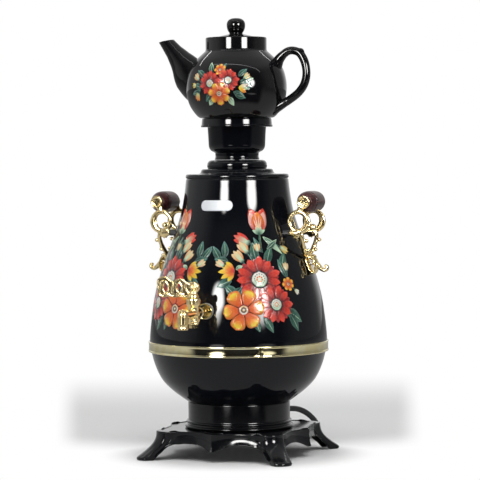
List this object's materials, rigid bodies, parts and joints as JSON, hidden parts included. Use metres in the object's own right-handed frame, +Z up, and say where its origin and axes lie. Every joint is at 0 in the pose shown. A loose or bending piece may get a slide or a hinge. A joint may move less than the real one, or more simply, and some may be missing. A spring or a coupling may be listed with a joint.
{
  "type": "electric samovar",
  "caption": "Tall black enamelled electric samovar on a footed stand, with a gold lever tap, two handles with wooden grips, and a black ceramic teapot on its crown.",
  "frame": {"origin": "on the floor, in the middle of the samovar's box without its free cord", "axes": "+Z up; -Y is the front, where the tap points; the handles are at +X and -X and the teapot's spout points to -X"},
  "size_m": [0.2382, 0.4169, 0.5237],
  "materials": {
    "casting": "high gloss black enamel",
    "enamel": "high gloss black enamel with printed flowers",
    "gold": "polished pale gold plating",
    "grip_wood": "gloss varnished dark mahogany",
    "teapot_glaze": "high gloss black glaze with printed flowers",
    "label": "satin, blank",
    "steel": "brushed",
    "seal": "matte",
    "black_plastic": "semi gloss",
    "brown_lead": "satin",
    "blue_lead": "satin",
    "earth_lead": "satin, green and yellow",
    "cord_rubber": "satin black"
  },
  "bodies": {
    "samovar": {"base_stand": "casting", "bottom_cover": "steel", "tie_bolt": "steel", "tie_nut": "steel", "pedestal_collar": "casting", "lower_bowl": "enamel", "seam_gasket": "seal", "seam_band": "gold", "upper_shell": "enamel", "blank_label": "label", "heating_element": "steel", "heater_seal_left": "seal", "heater_nut_left": "steel", "heater_seal_right": "seal", "heater_nut_right": "steel", "thermal_cutout": "black_plastic", "earth_screw": "steel", "terminal_block": "black_plastic", "live_lead": "brown_lead", "link_lead": "brown_lead", "neutral_lead": "blue_lead", "earth_lead": "earth_lead", "inner_cord_lead": "cord_rubber", "left_handle_casting": "gold", "left_grip": "grip_wood", "left_grip_rod": "steel", "left_foot_screw": "steel", "left_spacer_front": "black_plastic", "left_spacer_back": "black_plastic", "right_handle_casting": "gold", "right_grip": "grip_wood", "right_grip_rod": "steel", "right_foot_screw": "steel", "right_spacer_front": "black_plastic", "right_spacer_back": "black_plastic", "tap_gasket": "seal", "tap_inner_seal": "seal", "tap_back_nut": "steel", "tap_body": "gold", "strain_relief": "cord_rubber", "power_cord": "cord_rubber", "cord_coil": "cord_rubber", "cord_tie": "black_plastic", "plug_body": "black_plastic", "plug_pin_left": "steel", "plug_pin_right": "steel"},
    "tap_key": {"tap_key": "gold", "tap_key_nut": "gold"},
    "lid": {"tank_lid": "enamel", "stand_cup": "enamel", "crown_ring": "enamel", "stand_bolt": "steel", "stand_nut": "steel"},
    "teapot": {"teapot": "teapot_glaze"},
    "teapot_lid": {"teapot_lid": "teapot_glaze"}
  },
  "joints": [
    {"name": "tap_turn", "type": "hinge", "parent": "samovar", "child": "tap_key", "pos_m": [0, -0.1049, 0.2], "axis": [0, 0, 1], "range_deg": [0, 90]},
    {"name": "lid_lift", "type": "slide", "parent": "samovar", "child": "lid", "axis": [0, 0, 1], "range_m": [0, 0.08]},
    {"name": "teapot_lift", "type": "slide", "parent": "lid", "child": "teapot", "axis": [0, 0, 1], "range_m": [0, 0.06]},
    {"name": "teapot_lid_lift", "type": "slide", "parent": "teapot", "child": "teapot_lid", "axis": [0, 0, 1], "range_m": [0, 0.05]}
  ]
}
